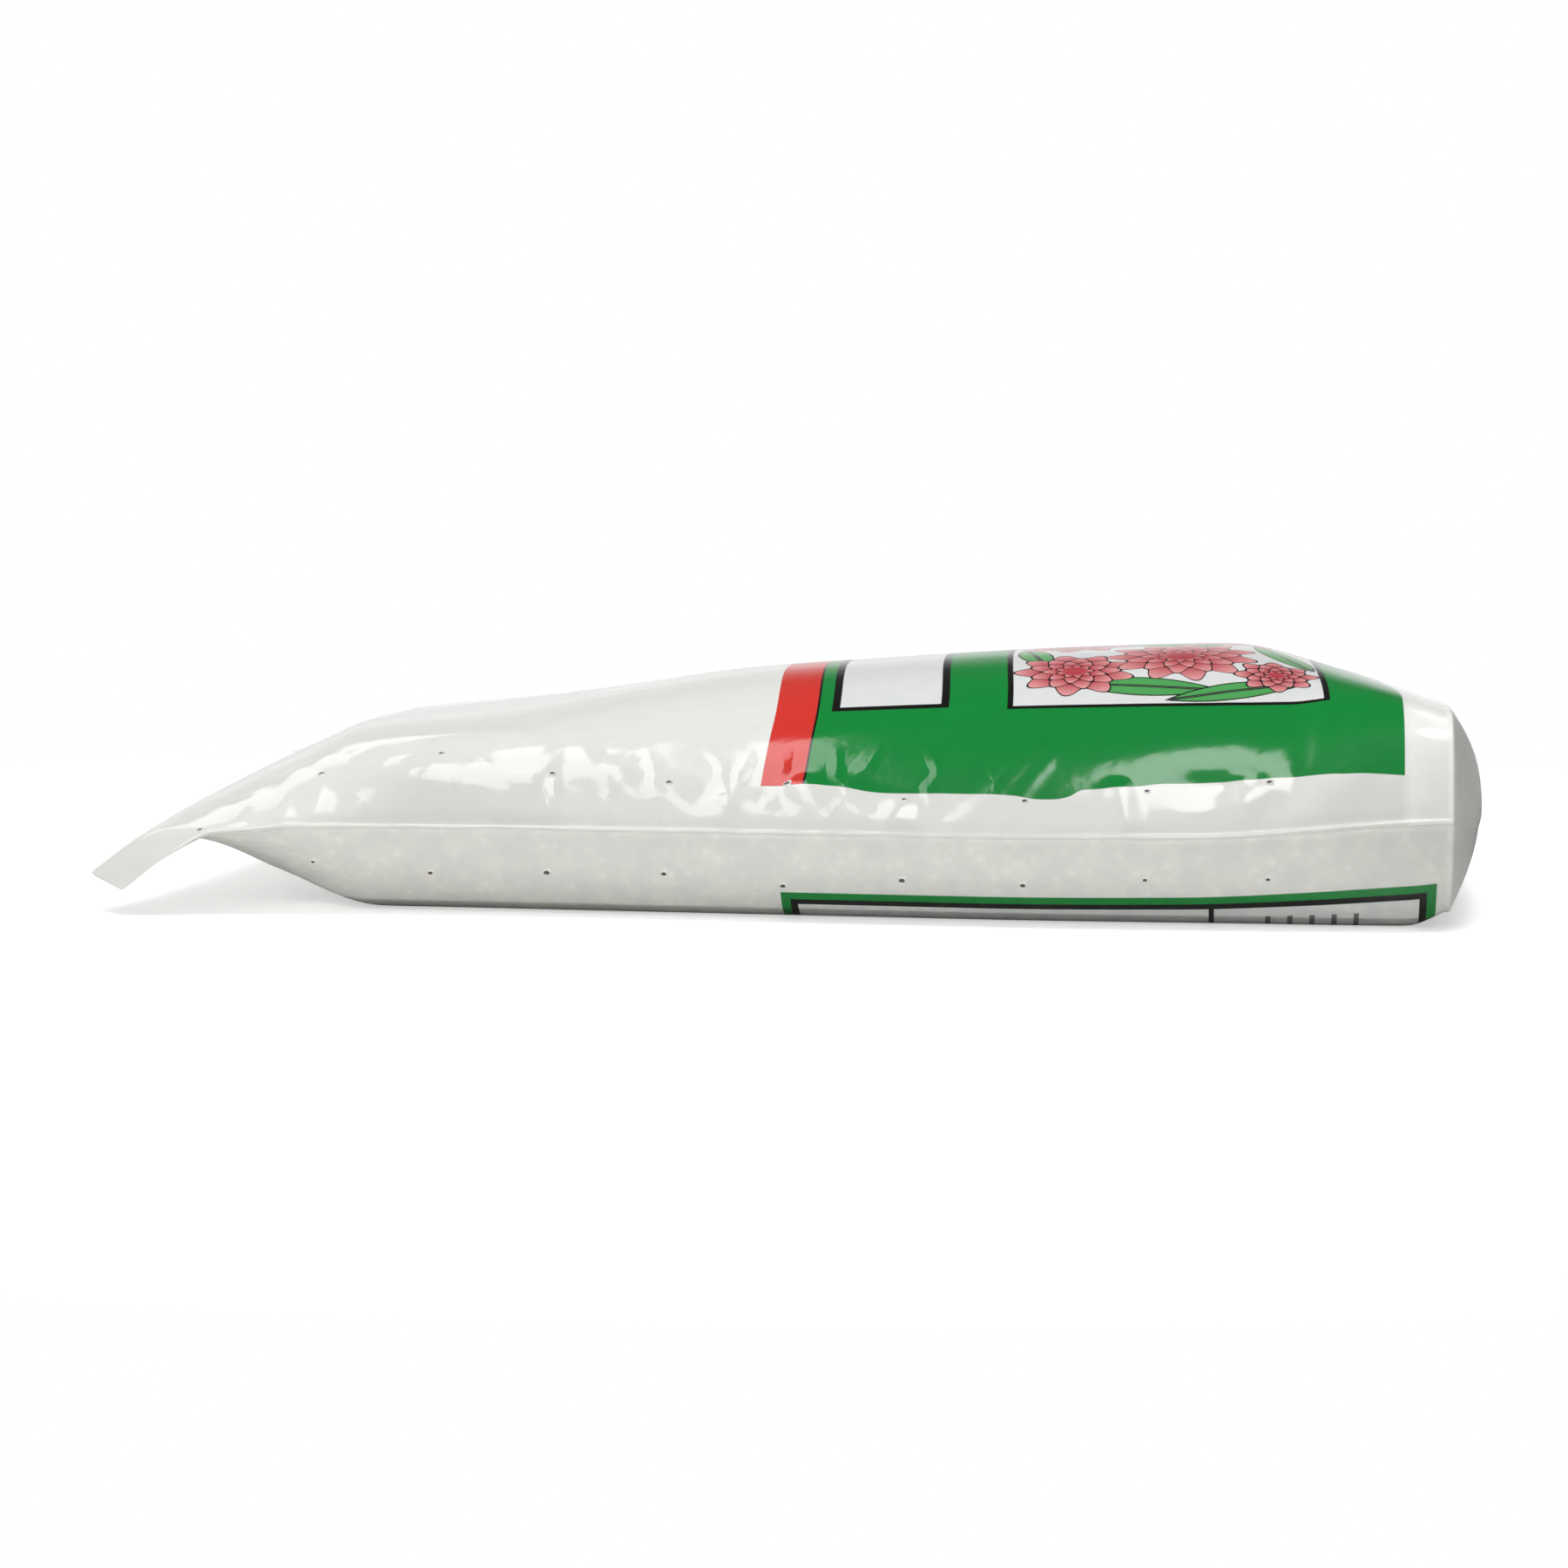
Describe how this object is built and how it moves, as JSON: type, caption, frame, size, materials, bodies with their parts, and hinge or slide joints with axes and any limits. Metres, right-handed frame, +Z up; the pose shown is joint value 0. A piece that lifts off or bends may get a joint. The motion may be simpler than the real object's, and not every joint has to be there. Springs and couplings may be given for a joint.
{
  "type": "fertilizer bag",
  "caption": "Filled glossy plastic film bag of granular fertilizer lying on its back, with creased sides, a folded block end and a flat sealed mouth.",
  "frame": {"origin": "on the floor, under the middle of the bag's outline", "axes": "+X along the bag towards its folded block end, +Z up out of the front panel"},
  "size_m": [0.42, 0.2544, 0.08],
  "materials": {
    "film": "glossy white printed film"
  },
  "bodies": {
    "root": {"fertilizer_bag": "film"}
  },
  "joints": []
}
